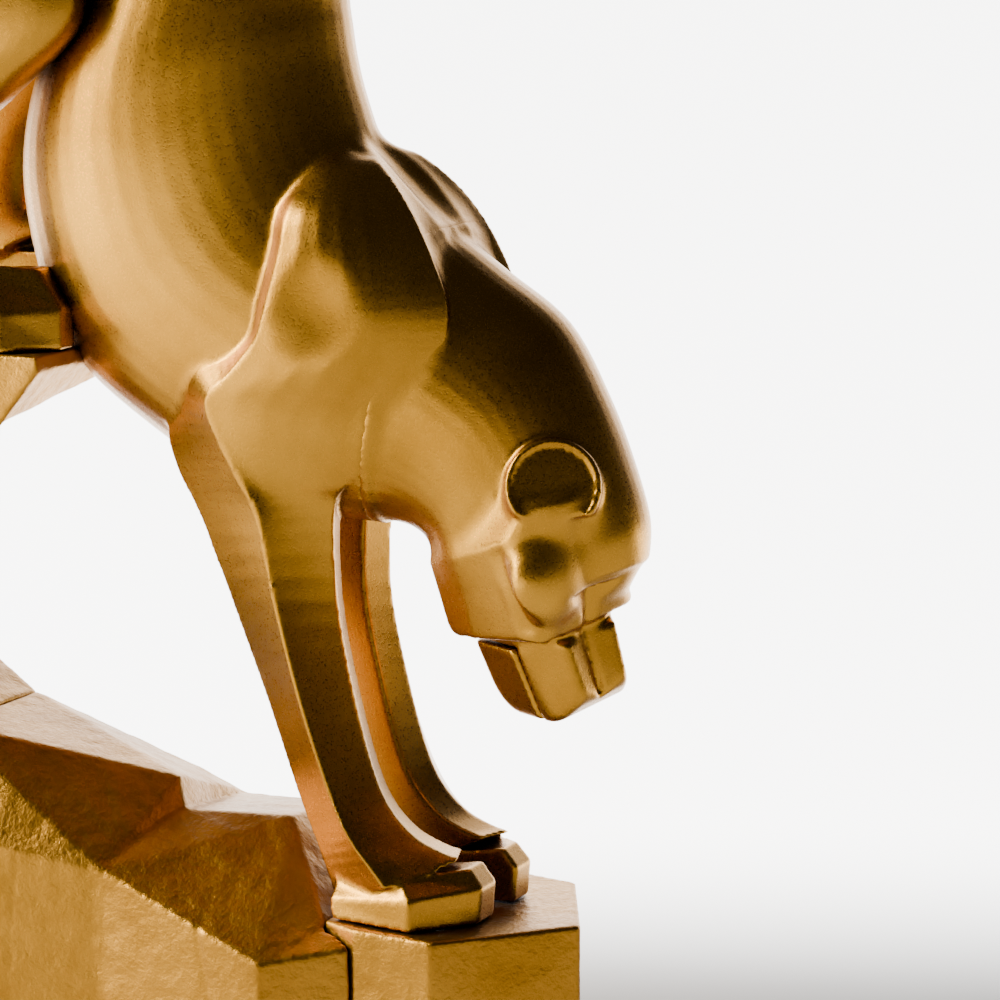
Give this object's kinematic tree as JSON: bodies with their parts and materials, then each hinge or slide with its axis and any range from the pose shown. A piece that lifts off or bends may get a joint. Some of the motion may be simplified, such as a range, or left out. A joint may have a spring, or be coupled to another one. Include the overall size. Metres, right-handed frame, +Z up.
{
  "type": "hood ornament",
  "caption": "Gilt cast hood ornament of a panther climbing head down over a hollow stepped rock, with a flat gasketed base and tapped holes for bonnet bolts.",
  "frame": {"origin": "centre of the flat underside of the base, where it stands on the bonnet", "axes": "+Z up, +X the way the animal faces, -Y its right side"},
  "size_m": [0.1543, 0.0404, 0.161],
  "materials": {
    "gilt_figure": "satin gilt with a fine metallic grain and brown patina in the creases",
    "gilt_rock": "gilt over an as-cast sandy grain",
    "plate_brass": "rolled, lightly tarnished",
    "dowel_brass": "drawn",
    "fastener_steel": "turned and zinc plated",
    "gasket_rubber": "matte moulded"
  },
  "bodies": {
    "root": {"torso": "gilt_figure", "head": "gilt_figure", "lower_jaw": "gilt_figure", "jaw_pin": "dowel_brass", "neck_dowels": "dowel_brass", "neck_screw": "fastener_steel", "right_foreleg": "gilt_figure", "left_foreleg": "gilt_figure", "right_hind_leg": "gilt_figure", "left_hind_leg": "gilt_figure", "tail": "gilt_figure", "shoulder_dowels": "dowel_brass", "hip_dowels": "dowel_brass", "tail_pin": "dowel_brass", "fore_paw_studs": "fastener_steel", "fore_paw_washers": "fastener_steel", "fore_paw_nuts": "fastener_steel", "hind_paw_studs": "fastener_steel", "hind_paw_washers": "fastener_steel", "hind_paw_nuts": "fastener_steel", "front_rock": "gilt_rock", "middle_rock": "gilt_rock", "rear_rock": "gilt_rock", "rock_tie_bolts": "fastener_steel", "rock_tie_nuts": "fastener_steel", "base_plate": "plate_brass", "base_plate_screws": "fastener_steel", "mounting_bosses": "fastener_steel", "base_gasket": "gasket_rubber"}
  },
  "joints": []
}
